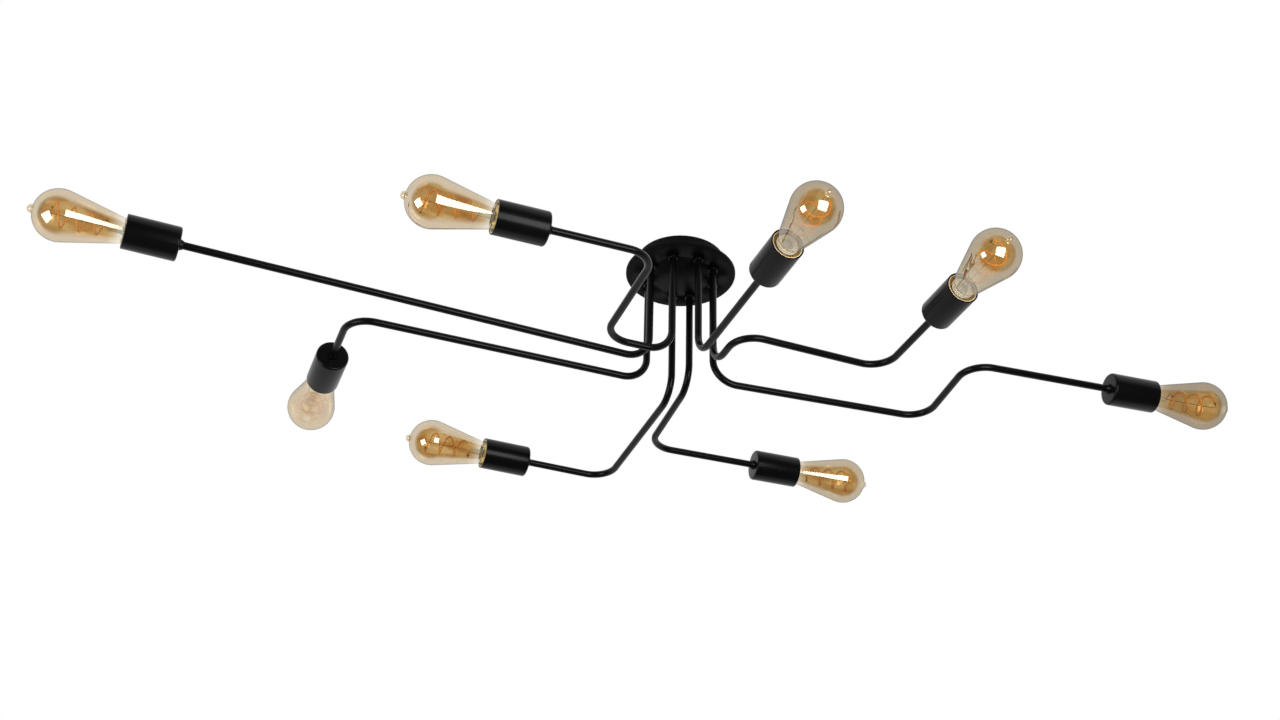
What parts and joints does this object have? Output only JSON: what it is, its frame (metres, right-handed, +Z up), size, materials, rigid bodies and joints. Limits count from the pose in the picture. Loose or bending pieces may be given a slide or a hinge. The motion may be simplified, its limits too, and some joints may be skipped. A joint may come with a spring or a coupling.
{
  "type": "ceiling light",
  "caption": "Black ceiling light: a round canopy carries bent tube arms on swivelling stems, each ending in a cylindrical lampholder with an amber filament bulb.",
  "frame": {"origin": "centre of the canopy on the ceiling face", "axes": "+Z up into the ceiling, +X along the long side of the light to the right of the picture, +Y away from its viewer"},
  "size_m": [1.556, 0.7585, 0.219],
  "materials": {
    "black_coat": "satin black powder coat",
    "zinc_steel": "bright zinc plate",
    "white_nylon": "moulded nylon",
    "brass": "turned brass",
    "lead_sheath": "extruded sheath",
    "black_phenolic": "moulded phenolic",
    "cap_metal": "rolled brass shell",
    "amber_glass": "amber coated clear glass",
    "filament": "orange filament on a clear glass stem"
  },
  "bodies": {
    "canopy": {"canopy_plate": "black_coat", "canopy_cup": "black_coat", "cup_nuts": "zinc_steel", "ceiling_bracket": "zinc_steel", "side_screws": "black_coat", "stem_collars": "black_coat", "stem_washers": "zinc_steel", "stem_locknuts": "zinc_steel", "terminal_block": "white_nylon", "terminal_screws": "brass", "earth_nut": "zinc_steel", "arm_leads": "lead_sheath"},
    "arm_a": {"arm_tube_a": "black_coat", "lamp_sleeve_a": "black_coat", "lamp_socket_a": "black_phenolic"},
    "cap_a": {"bulb_cap_a": "cap_metal"},
    "bulb_a": {"bulb_glass_a": "amber_glass", "bulb_filament_a": "filament"},
    "arm_b": {"arm_tube_b": "black_coat", "lamp_sleeve_b": "black_coat", "lamp_socket_b": "black_phenolic"},
    "cap_b": {"bulb_cap_b": "cap_metal"},
    "bulb_b": {"bulb_glass_b": "amber_glass", "bulb_filament_b": "filament"},
    "arm_c": {"arm_tube_c": "black_coat", "lamp_sleeve_c": "black_coat", "lamp_socket_c": "black_phenolic"},
    "cap_c": {"bulb_cap_c": "cap_metal"},
    "bulb_c": {"bulb_glass_c": "amber_glass", "bulb_filament_c": "filament"},
    "arm_d": {"arm_tube_d": "black_coat", "lamp_sleeve_d": "black_coat", "lamp_socket_d": "black_phenolic"},
    "cap_d": {"bulb_cap_d": "cap_metal"},
    "bulb_d": {"bulb_glass_d": "amber_glass", "bulb_filament_d": "filament"},
    "arm_e": {"arm_tube_e": "black_coat", "lamp_sleeve_e": "black_coat", "lamp_socket_e": "black_phenolic"},
    "cap_e": {"bulb_cap_e": "cap_metal"},
    "bulb_e": {"bulb_glass_e": "amber_glass", "bulb_filament_e": "filament"},
    "arm_f": {"arm_tube_f": "black_coat", "lamp_sleeve_f": "black_coat", "lamp_socket_f": "black_phenolic"},
    "cap_f": {"bulb_cap_f": "cap_metal"},
    "bulb_f": {"bulb_glass_f": "amber_glass", "bulb_filament_f": "filament"},
    "arm_g": {"arm_tube_g": "black_coat", "lamp_sleeve_g": "black_coat", "lamp_socket_g": "black_phenolic"},
    "cap_g": {"bulb_cap_g": "cap_metal"},
    "bulb_g": {"bulb_glass_g": "amber_glass", "bulb_filament_g": "filament"},
    "arm_h": {"arm_tube_h": "black_coat", "lamp_sleeve_h": "black_coat", "lamp_socket_h": "black_phenolic"},
    "cap_h": {"bulb_cap_h": "cap_metal"},
    "bulb_h": {"bulb_glass_h": "amber_glass", "bulb_filament_h": "filament"}
  },
  "joints": [
    {"name": "arm_a_swivel", "type": "hinge", "parent": "canopy", "child": "arm_a", "pos_m": [-0.047, -0.00871, -0.025], "axis": [0, 0, 1], "range_deg": [-2, 7]},
    {"name": "bulb_a_travel", "type": "slide", "parent": "arm_a", "child": "cap_a", "axis": [-0.9994, -0.0349, 0], "range_m": [0, 0.0254]},
    {"name": "bulb_a_screw", "type": "hinge", "parent": "cap_a", "child": "bulb_a", "pos_m": [-0.66112, -0.03016, -0.178], "axis": [-0.9994, -0.0349, 0], "range_deg": [0, 2520]},
    {"name": "arm_b_swivel", "type": "hinge", "parent": "canopy", "child": "arm_b", "pos_m": [-0.03496, 0.0326, -0.025], "axis": [0, 0, 1], "range_deg": [-5, 2.5]},
    {"name": "bulb_b_travel", "type": "slide", "parent": "arm_b", "child": "cap_b", "axis": [0.0044, 1, 0], "range_m": [0, 0.0254]},
    {"name": "bulb_b_screw", "type": "hinge", "parent": "cap_b", "child": "bulb_b", "pos_m": [-0.43653, 0.13185, -0.184], "axis": [0.0044, 1, 0], "range_deg": [0, 2520]},
    {"name": "arm_c_swivel", "type": "hinge", "parent": "canopy", "child": "arm_c", "pos_m": [-0.02707, -0.03939, -0.025], "axis": [0, 0, 1], "range_deg": [-3, 8]},
    {"name": "bulb_c_travel", "type": "slide", "parent": "arm_c", "child": "cap_c", "axis": [-1, 0.0035, 0], "range_m": [0, 0.0254]},
    {"name": "bulb_c_screw", "type": "hinge", "parent": "cap_c", "child": "bulb_c", "pos_m": [-0.26024, -0.23008, -0.18], "axis": [-1, 0.0035, 0], "range_deg": [0, 2520]},
    {"name": "arm_d_swivel", "type": "hinge", "parent": "canopy", "child": "arm_d", "pos_m": [0.00707, 0.04727, -0.025], "axis": [0, 0, 1], "range_deg": [-3, 8]},
    {"name": "bulb_d_travel", "type": "slide", "parent": "arm_d", "child": "cap_d", "axis": [-1, -0.0035, 0], "range_m": [0, 0.0254]},
    {"name": "bulb_d_screw", "type": "hinge", "parent": "cap_d", "child": "bulb_d", "pos_m": [-0.11731, 0.29834, -0.187], "axis": [-1, -0.0035, 0], "range_deg": [0, 2520]},
    {"name": "arm_e_swivel", "type": "hinge", "parent": "canopy", "child": "arm_e", "pos_m": [0.02877, 0.03818, -0.025], "axis": [0, 0, 1], "range_deg": [-8, 2.5]},
    {"name": "bulb_e_travel", "type": "slide", "parent": "arm_e", "child": "cap_e", "axis": [0.9988, -0.0488, 0], "range_m": [0, 0.0254]},
    {"name": "bulb_e_screw", "type": "hinge", "parent": "cap_e", "child": "bulb_e", "pos_m": [0.1966, 0.20467, -0.172], "axis": [0.9988, -0.0488, 0], "range_deg": [0, 2520]},
    {"name": "arm_f_swivel", "type": "hinge", "parent": "canopy", "child": "arm_f", "pos_m": [0.00707, -0.04727, -0.025], "axis": [0, 0, 1], "range_deg": [-8, 6]},
    {"name": "bulb_f_travel", "type": "slide", "parent": "arm_f", "child": "cap_f", "axis": [0.0157, -0.9999, 0], "range_m": [0, 0.0254]},
    {"name": "bulb_f_screw", "type": "hinge", "parent": "cap_f", "child": "bulb_f", "pos_m": [0.01026, -0.25075, -0.184], "axis": [0.0157, -0.9999, 0], "range_deg": [0, 2520]},
    {"name": "arm_g_swivel", "type": "hinge", "parent": "canopy", "child": "arm_g", "pos_m": [0.03409, -0.0335, -0.025], "axis": [0, 0, 1], "range_deg": [-4, 8]},
    {"name": "bulb_g_travel", "type": "slide", "parent": "arm_g", "child": "cap_g", "axis": [0.0209, -0.9998, 0], "range_m": [0, 0.0254]},
    {"name": "bulb_g_screw", "type": "hinge", "parent": "cap_g", "child": "bulb_g", "pos_m": [0.24566, -0.24912, -0.183], "axis": [0.0209, -0.9998, 0], "range_deg": [0, 2520]},
    {"name": "arm_h_swivel", "type": "hinge", "parent": "canopy", "child": "arm_h", "pos_m": [0.0478, 0, -0.025], "axis": [0, 0, 1], "range_deg": [-6, 8]},
    {"name": "bulb_h_travel", "type": "slide", "parent": "arm_h", "child": "cap_h", "axis": [0.9968, -0.0802, 0], "range_m": [0, 0.0254]},
    {"name": "bulb_h_screw", "type": "hinge", "parent": "cap_h", "child": "bulb_h", "pos_m": [0.53958, -0.18454, -0.184], "axis": [0.9968, -0.0802, 0], "range_deg": [0, 2520]}
  ],
  "couplings": [
    {"joint": "bulb_a_travel", "follows": "bulb_a_screw", "m_per_rad": 0.00057614},
    {"joint": "bulb_b_travel", "follows": "bulb_b_screw", "m_per_rad": 0.00057614},
    {"joint": "bulb_c_travel", "follows": "bulb_c_screw", "m_per_rad": 0.00057614},
    {"joint": "bulb_d_travel", "follows": "bulb_d_screw", "m_per_rad": 0.00057614},
    {"joint": "bulb_e_travel", "follows": "bulb_e_screw", "m_per_rad": 0.00057614},
    {"joint": "bulb_f_travel", "follows": "bulb_f_screw", "m_per_rad": 0.00057614},
    {"joint": "bulb_g_travel", "follows": "bulb_g_screw", "m_per_rad": 0.00057614},
    {"joint": "bulb_h_travel", "follows": "bulb_h_screw", "m_per_rad": 0.00057614}
  ]
}
